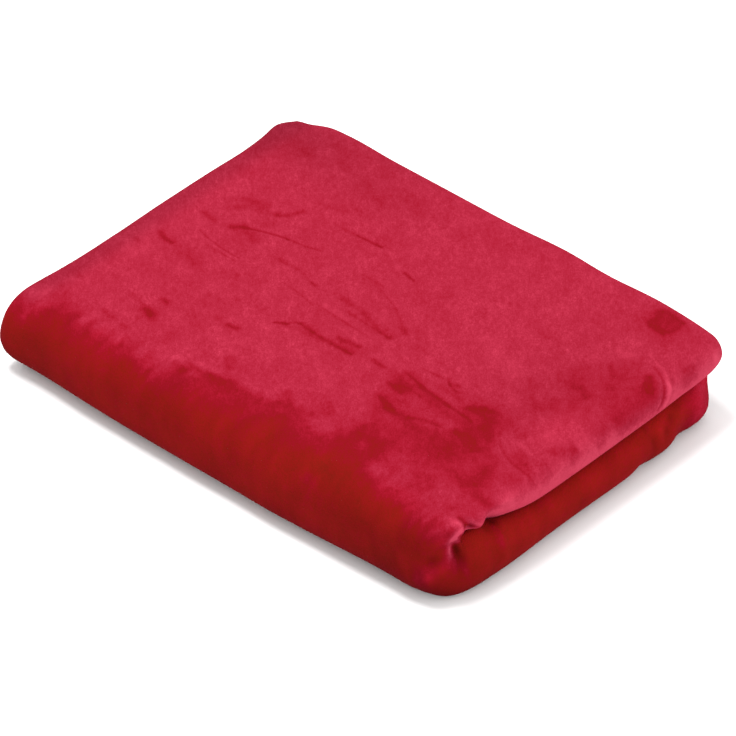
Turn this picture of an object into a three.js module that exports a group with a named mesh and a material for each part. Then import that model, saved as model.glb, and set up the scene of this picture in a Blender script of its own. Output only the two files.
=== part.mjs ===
// A fleece throw blanket, folded into a neat flat pack.
//
// The throw is one sheet of fleece, and its hem is part of the cloth. It is folded in thirds along
// its length, in thirds across its width, and then once in half about the long front edge, which
// makes eighteen layers. The mesh is a grid over the flat sheet, and every point of the grid goes
// through the same folds in the same order as the real cloth does. A last soft warp gives the pack
// its settled shape: the thinner left end, the upper half that hangs over the lower one, the blunt
// corners and the puckered end of the groove.
//
// Millimetres. +X runs along the long folded edge, which faces -Y. +Z is up. The origin is on the
// ground under the middle of the pack.

import * as THREE from 'three';

// The flat sheet, pile included, and how its layers lie.
const CLOTH = { wide: 1400, long: 2000, thick: 3 };
const GAP = 0.9;            // air between two layers
const TUCKED = 3;           // how far a tucked flap stops before the bend that wraps it
const OVER = { wide: 8, long: 2 };   // how far the flap on top lies out over the bend below it
const RED = { color: 0xb0203c, roughness: 0.95, metalness: 0 };

// How many straight steps each half-turn of cloth takes.
const STEPS = { inner: 3, outer: 4, left: 5, right: 7, front: 8 };

// Where the straight runs get a line of grid points, as shares of the run. The ends are finer,
// because the blunt corners and the puckers are there.
const ACROSS = [0, 0.06, 0.16, 0.4, 0.64, 0.84, 0.95, 1];
const BACK_TO_FRONT = [0, 0.07, 0.17, 0.38, 0.6, 0.8, 0.91, 0.965, 1];

// The cut of each rounded bend: 2 is a half circle, and more is squarer. The right-hand bend goes
// from its upper to its lower cut over a length of cloth about the front edge.
const SQUARE = { left: 2.3, rightLower: 2.2, rightUpper: 2, frontLower: 3, frontUpper: 2.5 };
const CUT_CHANGE = 84;

// How each corner of the pack settles. x and y say which corner, high is its height as a share of
// the stack, and the rest are for the lower and the upper half: how far it shifts along X and Y,
// and how blunt it is in plan.
const CORNERS = [
  { x: -1, y: -1, high: 0.94, lower: { dx: 9, dy: -1, blunt: 0 }, upper: { dx: 3, dy: -2, blunt: 0 } },
  { x: 1, y: -1, high: 1.0, lower: { dx: 4, dy: -1, blunt: 0.8 }, upper: { dx: -3, dy: 0, blunt: 0.6 } },
  { x: -1, y: 1, high: 0.99, lower: { dx: 1, dy: 0, blunt: 0.6 }, upper: { dx: 7, dy: 5, blunt: 0.8 } },
  { x: 1, y: 1, high: 1.03, lower: { dx: 1, dy: -5, blunt: 0.7 }, upper: { dx: 1, dy: 0, blunt: 0.35 } },
];
const BLUNT_REACH = 50;     // how far from a corner its blunting starts
const SIDE_BOW = { left: 5, right: 1, front: 5 };   // how far a side's middle moves: +X, +X and -Y
const SHIFT_FROM = 10;      // below this height a corner shifts as its lower half says
const SHIFT_TO = 60;        // above this one as its upper half says

// The groove between the two halves climbs at the right-hand end, and more so near the front. soft
// rounds the peak of the lift, which is largest between the halves.
const GROOVE_LIFT = { all: 6, front: 9, x: 236, y: -128, alongX: 32, alongY: 34, soft: 0.15 };

// Puckers at the front end of the groove. Each pushes the cloth about its centre, and fades over
// its reach.
const PUCKERS = [
  { name: 'tongue', at: [230, -147, 63], reach: 10, push: [2.5, -1, 1.5] },
  { name: 'lobe', at: [234, -126, 62], reach: 10, push: [2, 0, 1] },
  { name: 'pit', at: [238, -106, 59], reach: 9, push: [-2, 0, 1] },
  { name: 'tuck', at: [233, -154, 48], reach: 10, push: [-2.5, 1, 0] },
];

// Slow waves in the height of the whole stack: how long, which way they run in radians, where they
// start, and how high they are as a share of the stack.
const WAVES = [
  { length: 310, turn: 0.5, start: 0.4, share: 0.006 },
  { length: 190, turn: 2.1, start: 1.9, share: 0.005 },
  { length: 125, turn: 1.2, start: 4.0, share: 0.003 },
];

// One fold: radius is measured to the outer face, and middle to the middle of the folded stack.
function turnOver(stack, radius) {
  return { radius, middle: radius - stack / 2, length: Math.PI * (radius - stack / 2) };
}

const LAYER = CLOTH.thick;
const STRIP = 3 * LAYER + 2 * GAP;        // three layers, after the thirds along the length
const HALF = 3 * STRIP + 2 * GAP;         // nine layers, after the thirds across the width
const PACK = 2 * HALF + GAP;              // eighteen layers
const innerFold = turnOver(LAYER, LAYER + GAP / 2);
const outerFold = turnOver(LAYER, STRIP / 2);
const leftFold = turnOver(STRIP, STRIP + GAP / 2);
const rightFold = turnOver(STRIP, HALF / 2);
const frontFold = turnOver(HALF, HALF + GAP / 2);

const runLong = (CLOTH.long + TUCKED - OVER.long - innerFold.length - outerFold.length) / 3;
const runWide = (CLOTH.wide + TUCKED - OVER.wide - leftFold.length - rightFold.length) / 3;
const reach = (runLong + innerFold.radius + outerFold.radius) / 2;   // half of the folded strip
const packWide = runWide + leftFold.radius + rightFold.radius;
const packDeep = reach + frontFold.radius - frontFold.length / 2;

const clamp = THREE.MathUtils.clamp;
const smooth = THREE.MathUtils.smoothstep;
const mix = THREE.MathUtils.lerp;

// Fold what lies beyond the start back over the rest. s runs along the stack, z up through it.
function fold(s, z, start, bend, square = 2) {
  const angle = clamp((s - start) / bend.middle, 0, Math.PI);
  const beyond = Math.max(0, s - start - bend.length);
  const c = Math.abs(Math.cos(angle));
  const n = Math.abs(Math.sin(angle));
  const out = (bend.radius - z) * (c ** square + n ** square) ** (-1 / square);
  return [Math.min(s, start) + out * Math.sin(angle) - beyond, bend.radius - out * Math.cos(angle)];
}

// From the flat sheet (u across, v along, w through) to the folded pack, still neat and square.
function foldPoint(u, v, w) {
  const lengthwise = v > 0
    ? fold(v, w, reach - innerFold.radius, innerFold)
    : fold(-v, w, reach - outerFold.radius, outerFold);
  const along = v > 0 ? lengthwise[0] : -lengthwise[0];
  const lower = smooth(along, -CUT_CHANGE / 2, CUT_CHANGE / 2);
  const widthwise = u < 0
    ? fold(-u, lengthwise[1], packWide / 2 - leftFold.radius, leftFold, SQUARE.left)
    : fold(u, lengthwise[1], packWide / 2 - rightFold.radius, rightFold,
      mix(SQUARE.rightUpper, SQUARE.rightLower, lower));
  const x = u < 0 ? -widthwise[0] : widthwise[0];
  const front = smooth(along, -frontFold.length / 2, frontFold.length / 2);
  const [s, z] = fold(-along, widthwise[1], -frontFold.length / 2, frontFold,
    mix(SQUARE.frontUpper, SQUARE.frontLower, front));
  return [x, -s + frontFold.radius - frontFold.length / 2 - packDeep / 2, z];
}

// A value that each corner sets, blended over the plan.
function overPlan(x, y, value) {
  let sum = 0;
  for (const corner of CORNERS) {
    const share = (0.5 + corner.x * x / packWide) * (0.5 + corner.y * y / packDeep);
    sum += share * value(corner);
  }
  return sum;
}

// Settle the neat pack into the shape in which it lies.
function settle([x, y, z]) {
  const up = smooth(z, SHIFT_FROM, SHIFT_TO);
  const bowX = 1 - (2 * x / packWide) ** 2;
  const bowY = 1 - (2 * y / packDeep) ** 2;
  const right = x / packWide + 0.5;
  let px = x + overPlan(x, y, (c) => mix(c.lower.dx, c.upper.dx, up));
  let py = y + overPlan(x, y, (c) => mix(c.lower.dy, c.upper.dy, up));
  px += bowY * mix(SIDE_BOW.left, SIDE_BOW.right, right);
  py -= bowX * SIDE_BOW.front * (0.5 - y / packDeep);
  for (const corner of CORNERS) {
    const blunt = mix(corner.lower.blunt, corner.upper.blunt, up);
    const inX = clamp((corner.x * x - packWide / 2) / BLUNT_REACH + 1, 0, 1);
    const inY = clamp((corner.y * y - packDeep / 2) / BLUNT_REACH + 1, 0, 1);
    px -= corner.x * BLUNT_REACH * inX * (1 - Math.sqrt(1 - blunt * inY * inY / 2));
    py -= corner.y * BLUNT_REACH * inY * (1 - Math.sqrt(1 - blunt * inX * inX / 2));
  }
  let high = overPlan(x, y, (c) => c.high);
  for (const wave of WAVES) {
    const along = x * Math.cos(wave.turn) + y * Math.sin(wave.turn);
    high += wave.share * Math.sin(2 * Math.PI * along / wave.length + wave.start);
  }
  const { all, front, x: gx, y: gy, alongX, alongY, soft } = GROOVE_LIFT;
  const nearFront = Math.exp(-(((x - gx) / alongX) ** 2 + ((y - gy) / alongY) ** 2) / 2);
  const lift = all * smooth(x, 0, packWide / 2) + front * nearFront;
  const edge = Math.hypot(1, soft);
  const tent = (edge - Math.hypot(2 * z / PACK - 1, soft)) / (edge - soft);
  const point = new THREE.Vector3(px, py, z * high + lift * tent);
  const push = new THREE.Vector3();
  for (const pucker of PUCKERS) {
    const far = point.distanceTo(new THREE.Vector3(...pucker.at)) / pucker.reach;
    push.addScaledVector(new THREE.Vector3(...pucker.push), Math.exp(-far * far / 2));
  }
  return point.add(push);
}

// Grid lines along one direction of the flat sheet: flap, bend, middle, bend, flap. Lines in the
// flaps lie over those of the middle, so that the layers stay nested once folded. The first and the
// last bend each say where they start, their fold, their steps, and how far the flap that they turn
// over reaches past the start of the other bend.
function gridLines(first, last, middle) {
  const inner = middle.slice(1, -1);
  const before = (p) => 2 * first.start - first.fold.length - p;
  const after = (p) => 2 * last.start + last.fold.length - p;
  const lines = [before(last.start + first.past), ...inner.map(before).reverse()];
  for (let i = 0; i < first.steps; i += 1) {
    lines.push(before(first.start) + first.fold.length * i / first.steps);
  }
  lines.push(...middle);
  for (let i = 1; i <= last.steps; i += 1) {
    lines.push(last.start + last.fold.length * i / last.steps);
  }
  lines.push(...inner.map(after).reverse(), after(first.start - last.past));
  return lines;
}

// The grid over the whole sheet: lines across its width, and lines along its length.
function sheetLines() {
  const left = -(packWide / 2 - leftFold.radius);
  const right = packWide / 2 - rightFold.radius;
  const across = gridLines(
    { start: left, fold: leftFold, steps: STEPS.left, past: -TUCKED },
    { start: right, fold: rightFold, steps: STEPS.right, past: OVER.wide },
    ACROSS.map((share) => mix(left, right, share)),
  );
  const back = -(reach - outerFold.radius);
  const low = reach - innerFold.radius;
  const half = frontFold.length / 2;
  const middle = BACK_TO_FRONT.map((share) => mix(back, -half, share));
  for (let i = 1; i < STEPS.front; i += 1) {
    middle.push(mix(-half, half, i / STEPS.front));
  }
  middle.push(...BACK_TO_FRONT.map((share) => mix(low, half, share)).reverse());
  const along = gridLines(
    { start: back, fold: outerFold, steps: STEPS.outer, past: OVER.long },
    { start: low, fold: innerFold, steps: STEPS.inner, past: -TUCKED },
    middle,
  );
  return { across, along };
}

// The folded sheet as one closed mesh: its outer face, its inner face, and the hem round its edge.
// Each square of the grid is split along the diagonal that points the same way in the pack, so that
// layers that lie on each other are split alike and stay apart.
function foldedSheet() {
  const { across, along } = sheetLines();
  const columns = across.length;
  const rows = along.length;
  const neat = across.map((u) => along.map((v) => foldPoint(u, v, 0)));
  const positions = [];
  for (const w of [0, CLOTH.thick]) {
    for (const u of across) {
      for (const v of along) {
        positions.push(...settle(foldPoint(u, v, w)).toArray());
      }
    }
  }
  const at = (face, i, j) => (face * columns + i) * rows + j;
  const faces = [];
  const quad = (a, b, c, d) => faces.push(a, b, c, a, c, d);
  for (let i = 0; i + 1 < columns; i += 1) {
    for (let j = 0; j + 1 < rows; j += 1) {
      const [ax, ay] = neat[i][j];
      const turned = (neat[i + 1][j][0] - ax) * (neat[i][j + 1][1] - ay) < 0;
      const outer = [at(0, i, j), at(0, i, j + 1), at(0, i + 1, j + 1), at(0, i + 1, j)];
      const inner = [at(1, i, j), at(1, i, j + 1), at(1, i + 1, j + 1), at(1, i + 1, j)];
      if (turned) {
        outer.push(outer.shift());
        inner.push(inner.shift());
      }
      quad(...outer);
      quad(inner[0], inner[3], inner[2], inner[1]);
    }
    quad(at(0, i, 0), at(0, i + 1, 0), at(1, i + 1, 0), at(1, i, 0));
    quad(at(0, i + 1, rows - 1), at(0, i, rows - 1), at(1, i, rows - 1), at(1, i + 1, rows - 1));
  }
  const end = columns - 1;
  for (let j = 0; j + 1 < rows; j += 1) {
    quad(at(0, 0, j + 1), at(0, 0, j), at(1, 0, j), at(1, 0, j + 1));
    quad(at(0, end, j), at(0, end, j + 1), at(1, end, j + 1), at(1, end, j));
  }
  const geometry = new THREE.BufferGeometry();
  geometry.setAttribute('position', new THREE.Float32BufferAttribute(positions, 3));
  geometry.setIndex(faces);
  geometry.computeBoundingBox();
  const box = geometry.boundingBox;
  geometry.translate(-(box.min.x + box.max.x) / 2, -(box.min.y + box.max.y) / 2, 0);
  geometry.computeVertexNormals();
  return geometry;
}

const throwBlanket = new THREE.Mesh(foldedSheet(), new THREE.MeshStandardMaterial(RED));
throwBlanket.name = 'throw_sheet';

const object = new THREE.Group();
object.add(throwBlanket);

export default object;
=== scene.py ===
# %% [markdown]
# # A folded fleece throw
# The object is one rectangle of thick, velvety fleece. Somebody has folded it in thirds along its
# length, in thirds across its width and once in half, and it lies on a white table as a neat pack.
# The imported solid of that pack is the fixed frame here. This script makes the cloth that shows:
# one thin sheet along the same folds, with its creases and its brushed pile.

# %% Load the frame
import math

import bpy
import numpy as np
from mathutils import Matrix, Vector


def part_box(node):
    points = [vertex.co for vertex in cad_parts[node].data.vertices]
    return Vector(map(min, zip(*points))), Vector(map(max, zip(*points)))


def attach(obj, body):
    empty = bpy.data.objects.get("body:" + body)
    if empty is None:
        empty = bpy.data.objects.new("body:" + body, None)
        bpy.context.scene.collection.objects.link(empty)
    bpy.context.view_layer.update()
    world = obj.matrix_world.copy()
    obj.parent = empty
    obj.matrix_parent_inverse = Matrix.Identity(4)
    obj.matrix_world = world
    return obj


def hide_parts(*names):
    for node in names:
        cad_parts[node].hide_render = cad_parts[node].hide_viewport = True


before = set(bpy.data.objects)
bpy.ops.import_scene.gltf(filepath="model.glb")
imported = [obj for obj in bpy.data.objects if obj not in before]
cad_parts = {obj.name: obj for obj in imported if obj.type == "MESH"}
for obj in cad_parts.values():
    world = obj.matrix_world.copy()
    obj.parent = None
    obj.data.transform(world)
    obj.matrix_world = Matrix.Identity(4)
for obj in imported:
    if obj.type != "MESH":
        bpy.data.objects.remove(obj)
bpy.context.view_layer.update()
MM = 0.001
low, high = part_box("throw_sheet")
print("the solid is", [round(size / MM) for size in high - low], "mm")

# %% [markdown]
# ## The camera
# A catalogue picture of a flat thing is taken from far away with a long lens, so that parallel
# edges stay nearly parallel. The camera stands off the front right corner and looks down. It aims a
# little beside the middle, which puts the throw where the picture has it, with no lens shift.

# %% Place the camera
VIEW = {"azimuth": math.radians(41.86), "height": math.radians(38.41), "away": 5.87}
PICTURE = 736                # pixels a side
PIXELS_PER_METRE = 1254.4    # at the aim point
AIM_OFFSET = {"right": 4.77, "up": -9.28}   # millimetres, in the picture's plane
AIM_POINT = Vector((-4.06, 0.77, 30)) * MM
FILM_WIDE = 36               # millimetres
FARTHEST = 50                # metres that the camera sees

outward = Vector((
    math.sin(VIEW["azimuth"]) * math.cos(VIEW["height"]),
    -math.cos(VIEW["azimuth"]) * math.cos(VIEW["height"]),
    math.sin(VIEW["height"]),
))
picture_right = Vector((math.cos(VIEW["azimuth"]), math.sin(VIEW["azimuth"]), 0))
picture_up = outward.cross(picture_right)
aim = AIM_POINT + (picture_right * AIM_OFFSET["right"] + picture_up * AIM_OFFSET["up"]) * MM

camera = bpy.data.objects.new("camera", bpy.data.cameras.new("camera"))
camera.data.sensor_width = FILM_WIDE
camera.data.lens = PIXELS_PER_METRE * VIEW["away"] * FILM_WIDE / PICTURE
camera.data.clip_end = FARTHEST
axes = Matrix((picture_right, picture_up, outward)).transposed()
camera.matrix_world = Matrix.Translation(aim + outward * VIEW["away"]) @ axes.to_4x4()
bpy.context.scene.collection.objects.link(camera)
bpy.context.scene.camera = camera
print("lens", round(camera.data.lens), "mm")

# %% [markdown]
# ## The table and the light
# A catalogue picture is often lit so brightly that the white table burns out, and only the shadow
# next to the thing keeps a little grey. So the room itself is bright and white. One large soft box,
# nearly overhead, adds the rest and throws the short shadow to the right. A low, dim one at the right
# fills in the right-hand end.

# %% Lay the floor and hang the lights
FLOOR_SIZE = 30
SOFT_BOXES = {
    "soft_box": {"at": Vector((-0.65, -0.25, 2.7)), "size": 1.1, "watts": 73},
    "fill_box": {"at": Vector((1.8, -0.4, 0.5)), "size": 0.9, "watts": 11},
}
ROOM_LIGHT = 1.32
TABLE_GREY = 0.8             # it still burns out to white in so much light
TABLE_ROUGH = 0.9

bpy.ops.mesh.primitive_plane_add(size=FLOOR_SIZE)
floor = bpy.context.object
floor.name = "floor"
white = bpy.data.materials.new("table_white")
white.use_nodes = True
paint = white.node_tree.nodes["Principled BSDF"].inputs
paint["Base Color"].default_value = (TABLE_GREY, TABLE_GREY, TABLE_GREY, 1)
paint["Roughness"].default_value = TABLE_ROUGH
floor.data.materials.append(white)

for name, box in SOFT_BOXES.items():
    box_light = bpy.data.objects.new(name, bpy.data.lights.new(name, "AREA"))
    box_light.data.shape = "DISK"
    box_light.data.size = box["size"]
    box_light.data.energy = box["watts"]
    box_light.location = box["at"]
    box_light.rotation_euler = box["at"].to_track_quat("Z", "Y").to_euler()
    bpy.context.scene.collection.objects.link(box_light)

room = bpy.data.worlds.new("room")
room.use_nodes = True
backdrop = room.node_tree.nodes["Background"].inputs
backdrop["Color"].default_value = (1, 1, 1, 1)
backdrop["Strength"].default_value = ROOM_LIGHT
bpy.context.scene.world = room
bpy.context.scene.view_settings.view_transform = "Standard"
print("room light", ROOM_LIGHT, "and", len(SOFT_BOXES), "soft boxes")

# %% [markdown]
# ## How the cloth is folded
# A fold can be written as a rule for points. Everything past the fold line goes round a bend and
# comes back over the rest. The same three rules, one after the other, take a point of the flat
# sheet to its place in the pack: u runs across the sheet, v along it and w through its thickness.
# These are the sizes that the solid was made with, in millimetres.

# %% Name the sizes of the cloth and its folds
SHEET = {"wide": 1400, "long": 2000, "thick": 3}
GAP = 0.9                    # between two layers
TUCKED = 3                   # an inner flap ends this far short of the next fold
OVER = {"wide": 8, "long": 2}   # an outer flap ends this far past the fold below it
# How square each bend is: 2 is round. The right end changes over CUT_CHANGE of the cloth.
SQUARE = {"left": 2.3, "right_lower": 2.2, "right_upper": 2, "front_lower": 3, "front_upper": 2.5}
CUT_CHANGE = 84
TINY = 1e-9                  # keeps a power of 0 out of the bends


class Bend:
    """A half turn of a stack of cloth, by the stack's thickness and the outer radius."""

    def __init__(self, stack, radius):
        self.radius = radius
        self.middle = radius - stack / 2
        self.length = math.pi * self.middle


LAYER = SHEET["thick"]
STRIP = 3 * LAYER + 2 * GAP
HALF = 3 * STRIP + 2 * GAP
PACK = 2 * HALF + GAP
inner_bend = Bend(LAYER, LAYER + GAP / 2)
outer_bend = Bend(LAYER, STRIP / 2)
left_bend = Bend(STRIP, STRIP + GAP / 2)
right_bend = Bend(STRIP, HALF / 2)
front_bend = Bend(HALF, HALF + GAP / 2)

run_long = (SHEET["long"] + TUCKED - OVER["long"] - inner_bend.length - outer_bend.length) / 3
run_wide = (SHEET["wide"] + TUCKED - OVER["wide"] - left_bend.length - right_bend.length) / 3
reach = (run_long + inner_bend.radius + outer_bend.radius) / 2
pack_wide = run_wide + left_bend.radius + right_bend.radius
pack_deep = reach + front_bend.radius - front_bend.length / 2
LEFT = -(pack_wide / 2 - left_bend.radius)
RIGHT = pack_wide / 2 - right_bend.radius
BACK = -(reach - outer_bend.radius)
LOW_BACK = reach - inner_bend.radius
FRONT = front_bend.length / 2
print("folded:", round(pack_wide), "x", round(pack_deep), "x", round(PACK), "mm")

# %% Write the folds as rules for points


def smooth(value, start, end):
    """0 before start, 1 after end, and a soft step between them."""
    share = np.clip((value - start) / (end - start), 0, 1)
    return share * share * (3 - 2 * share)


def mix(a, b, share):
    return a * (1 - share) + b * share


def fold(s, z, start, bend, square=2.0):
    """Fold what lies beyond start back over the rest. s runs along the stack, z up through it."""
    radius, middle = np.broadcast_arrays(bend[0], bend[1])
    angle = np.clip((s - start) / middle, 0, math.pi)
    beyond = np.maximum(0, s - start - math.pi * middle)
    across = np.maximum(np.abs(np.cos(angle)), TINY) ** square
    up = np.maximum(np.abs(np.sin(angle)), TINY) ** square
    out = (radius - z) * (across + up) ** (-1 / square)
    return np.minimum(s, start) + out * np.sin(angle) - beyond, radius - out * np.cos(angle)


def either(test, first, second):
    """A bend's radius and middle: those of the first bend where the test holds."""
    return (np.where(test, first.radius, second.radius), np.where(test, first.middle, second.middle))


def folded(u, v, w):
    """From the flat sheet to the neat pack."""
    lower_flap = v > 0
    s, z = fold(np.abs(v), w, np.where(lower_flap, LOW_BACK, -BACK),
                either(lower_flap, inner_bend, outer_bend))
    along = np.where(lower_flap, s, -s)
    lower = smooth(along, -CUT_CHANGE / 2, CUT_CHANGE / 2)
    left_flap = u < 0
    right_cut = mix(SQUARE["right_upper"], SQUARE["right_lower"], lower)
    s, z = fold(np.abs(u), z, np.where(left_flap, -LEFT, RIGHT),
                either(left_flap, left_bend, right_bend), np.where(left_flap, SQUARE["left"], right_cut))
    x = np.where(left_flap, -s, s)
    front_cut = mix(SQUARE["front_upper"], SQUARE["front_lower"], smooth(along, -FRONT, FRONT))
    s, z = fold(-along, z, -FRONT, (front_bend.radius, front_bend.middle), front_cut)
    return x, front_bend.radius - FRONT - pack_deep / 2 - s, z


place = folded(SHEET["wide"] / 2, SHEET["long"] / 2, 0)
print("a corner of the sheet goes to", [round(float(at)) for at in place], "mm")

# %% [markdown]
# ## How the pack settles
# A real pack is never square. Its left end is thinner, the upper half hangs over the lower one at
# the back right corner, and the corners are blunt. One smooth warp of space does all of this at
# once, so that layers that lie on each other move together and never cross.

# %% Write the settling as a warp of space


def named(columns, rows):
    """Rows of values as dicts, by the names of the columns."""
    return [dict(zip(columns.split(), row)) for row in rows]


# For each half of a corner: how far it moves in x and in y, and how blunt it is.
CORNERS = named("x y high lower upper", [
    (-1, -1, 0.94, (9, -1, 0.0), (3, -2, 0.0)),
    (1, -1, 1.00, (4, -1, 0.8), (-3, 0, 0.6)),
    (-1, 1, 0.99, (1, 0, 0.6), (7, 5, 0.8)),
    (1, 1, 1.03, (1, -5, 0.7), (1, 0, 0.35)),
])
BLUNT_REACH = 50             # how far from its corner the bluntness reaches
SIDE_BOW = {"left": 5, "right": 1, "front": 5}
SHIFT_FROM, SHIFT_TO = 10, 60   # the heights between the lower and the upper half
GROOVE_LIFT = {"all": 6, "front": 9, "x": 236, "y": -128, "along_x": 32, "along_y": 34, "soft": 0.15}
WAVES = named("length turn start share", [
    (310, 0.5, 0.4, 0.006),
    (190, 2.1, 1.9, 0.005),
    (125, 1.2, 4.0, 0.003),
])
PUCKERS = named("name at reach by", [
    ("tongue", (230, -147, 63), 10, (2.5, -1, 1.5)),
    ("lobe", (234, -126, 62), 10, (2, 0, 1)),
    ("pit", (238, -106, 59), 9, (-2, 0, 1)),
    ("tuck", (233, -154, 48), 10, (-2.5, 1, 0)),
])


def over_plan(x, y, values):
    """A value that each corner sets, blended over the plan."""
    total = 0
    for corner, value in zip(CORNERS, values):
        share = (0.5 + corner["x"] * x / pack_wide) * (0.5 + corner["y"] * y / pack_deep)
        total = total + share * value
    return total


def pushed(points, pushes):
    """Moves places softly, by all the pushes near them."""
    moved = np.array(points)
    for push in pushes:
        far = np.linalg.norm((points - np.array(push["at"])) / push["reach"], axis=-1)
        moved += np.exp(-far * far / 2)[..., None] * push["by"]
    return moved


def settled(x, y, z):
    """From the neat pack to the shape in which it lies."""
    up = smooth(z, SHIFT_FROM, SHIFT_TO)
    bow_x = 1 - (2 * x / pack_wide) ** 2
    bow_y = 1 - (2 * y / pack_deep) ** 2
    px = x + over_plan(x, y, [mix(c["lower"][0], c["upper"][0], up) for c in CORNERS])
    py = y + over_plan(x, y, [mix(c["lower"][1], c["upper"][1], up) for c in CORNERS])
    px = px + bow_y * mix(SIDE_BOW["left"], SIDE_BOW["right"], x / pack_wide + 0.5)
    py = py - bow_x * SIDE_BOW["front"] * (0.5 - y / pack_deep)
    for c in CORNERS:
        blunt = mix(c["lower"][2], c["upper"][2], up)
        in_x = np.clip((c["x"] * x - pack_wide / 2) / BLUNT_REACH + 1, 0, 1)
        in_y = np.clip((c["y"] * y - pack_deep / 2) / BLUNT_REACH + 1, 0, 1)
        px = px - c["x"] * BLUNT_REACH * in_x * (1 - np.sqrt(1 - blunt * in_y ** 2 / 2))
        py = py - c["y"] * BLUNT_REACH * in_y * (1 - np.sqrt(1 - blunt * in_x ** 2 / 2))
    tall = over_plan(x, y, [c["high"] for c in CORNERS])
    for wave in WAVES:
        along = x * math.cos(wave["turn"]) + y * math.sin(wave["turn"])
        tall = tall + wave["share"] * np.sin(2 * math.pi * along / wave["length"] + wave["start"])
    g = GROOVE_LIFT
    near = np.exp(-(((x - g["x"]) / g["along_x"]) ** 2 + ((y - g["y"]) / g["along_y"]) ** 2) / 2)
    lift = g["all"] * smooth(x, 0, pack_wide / 2) + g["front"] * near
    edge = math.hypot(1, g["soft"])
    tent = (edge - np.hypot(2 * z / PACK - 1, g["soft"])) / (edge - g["soft"])
    return pushed(np.stack([px, py, z * tall + lift * tent], -1), PUCKERS)


print("settled by", len(CORNERS), "corners,", len(WAVES), "waves and", len(PUCKERS), "puckers")

# %% [markdown]
# ## Marks in the pile
# Whoever folded the throw smoothed it with both hands, and the pile kept every stroke. Each row
# below is one such mark on the flat sheet: where it starts and ends, how far it bows to the side,
# its half width, how much more the pile stands up there in percent (below zero it is pressed) and
# how deep a trough it makes (below zero it is a ridge). The other columns are in millimetres. A
# mark without a bow is straight, and one without a depth changes the pile alone. So do the small
# round spots between the marks.

# %% List the creases and the pressed places
# At the crinkled front right corner and at the foot of the right-hand end, some rows are painted
# highlights and painted shade of the small folds there, not marks in the pile.
CREASES = named("from_u from_v to_u to_v bow half_width pile deep", [
    (-168, -184, -160, -190, 0, 3.4, -75, 0.5), (-160, -190, -122, -202, -1, 1.3, -65, 0.7),
    (-122, -202, -90, -208, 1, 1.1, -35, 0.5), (-82, -241, -56, -242, 0, 1.5, -70, 0.8),
    (-106, -240, -86, -240, 0, 2.6, -25, 0.3), (-18, -229, -5, -226, 0, 1.5, -60, 0.6),
    (-184, -163, -135, -158, 2, 0.9, -30, 0.4), (-180, -158, -140, -155, 0, 1.2, 12, -0.3),
    (-166, -153, -134, -153, 0, 0.9, -22, 0.3), (-110, -178, -88, -178, 0, 2.2, -28, 0.4),
    (-88, -178, -66, -172, 0, 1.5, -15, 0.3), (-86, -157, -45, -151, -1, 0.9, -25, 0.3),
    (-53, -116, -44, -121, 0, 1.8, -70, 0.4), (-44, -121, -36, -129, -1, 1.5, -40, 0.4),
    (-36, -128, 20, -126, 1.5, 2.6, -60, 0.9), (0, -134, 20, -136, 0, 2.2, -45, 0.4),
    (4, -132, 18, -126, 0, 5, -25, 0.3), (40, -131, 53, -130, 0, 2.2, -45, 0.4),
    (-35, -153, 12, -150, 0, 1.2, -25, 0.3), (-12, -143, 22, -140, 0, 1.4, 16, -0.5),
    (-42, -174, -8, -171, 0, 3, -30, 0.4), (-8, -170, 32, -160, 1, 3, -35, 0.6),
    (-18, -163, 30, -160, 0, 1.6, -30, 0.4), (8, -190, 38, -172, 0, 1.8, -25, 0.3),
    (-20, -202, 10, -190, 0, 1.1, -20, 0.3), (-43, -206, -20, -205, 0, 1.2, -22, 0.2),
    (214, -268, 240, -246, -3, 1.4, -60, 0.9), (212, -273, 240, -253, -3, 1.5, 25, -0.6),
    (218, -257, 225, -246, 0, 3.6, -55, 0.5), (68, -137, 96, -131, 0, 1.6, -35, 0.5),
    (92, -131, 124, -128, 0, 2.2, -55, 0.8), (120, -128, 150, -125, 0, 1.6, -40, 0.6),
    (84, -124, 100, -121, 0, 1.8, -30, 0.3), (72, -104, 92, -97, 1, 3, -35, 0.6),
    (88, -95, 112, -96, 0, 3, -35, 0.7), (110, -98, 135, -104, 0, 2, -35, 0.5),
    (101, -152, 118, -145, 2, 1.7, -50, 0.5), (78, -148, 98, -149, 0, 1.3, -25, 0.2),
    (150, -107, 176, -99, -3, 3.5, -50, 0.5), (175, -130, 232, -102, 8, 1.3, -30, 0.6),
    (182, -137, 234, -112, 8, 1.3, 12, -0.4), (190, -142, 234, -121, 5, 1.2, -20, 0.5),
])
STROKES = named("from_u from_v to_u to_v bow half_width pile deep", [
    (-206, -140, -190, -137, 1.5, 2.4, -60, 0.4), (-193, -208, -164, -223, -3, 4, -35, 0.4),
    (-151, -219, -138, -236, 2, 2.6, -50, 0.4), (176, -262, 206, -238, -6, 4, -18, 0.4),
    (206, -238, 200, -205, 4, 5, -15, 0.3), (168, -222, 200, -208, 3, 5, -16, 0.3),
    (172, -322, 176, -308, -2, 3.6, -55, 0.2), (176, -308, 192, -306, 2, 3, -75, 0.2),
    (192, -306, 196, -322, 3, 3, -40, 0.1),
])
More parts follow.
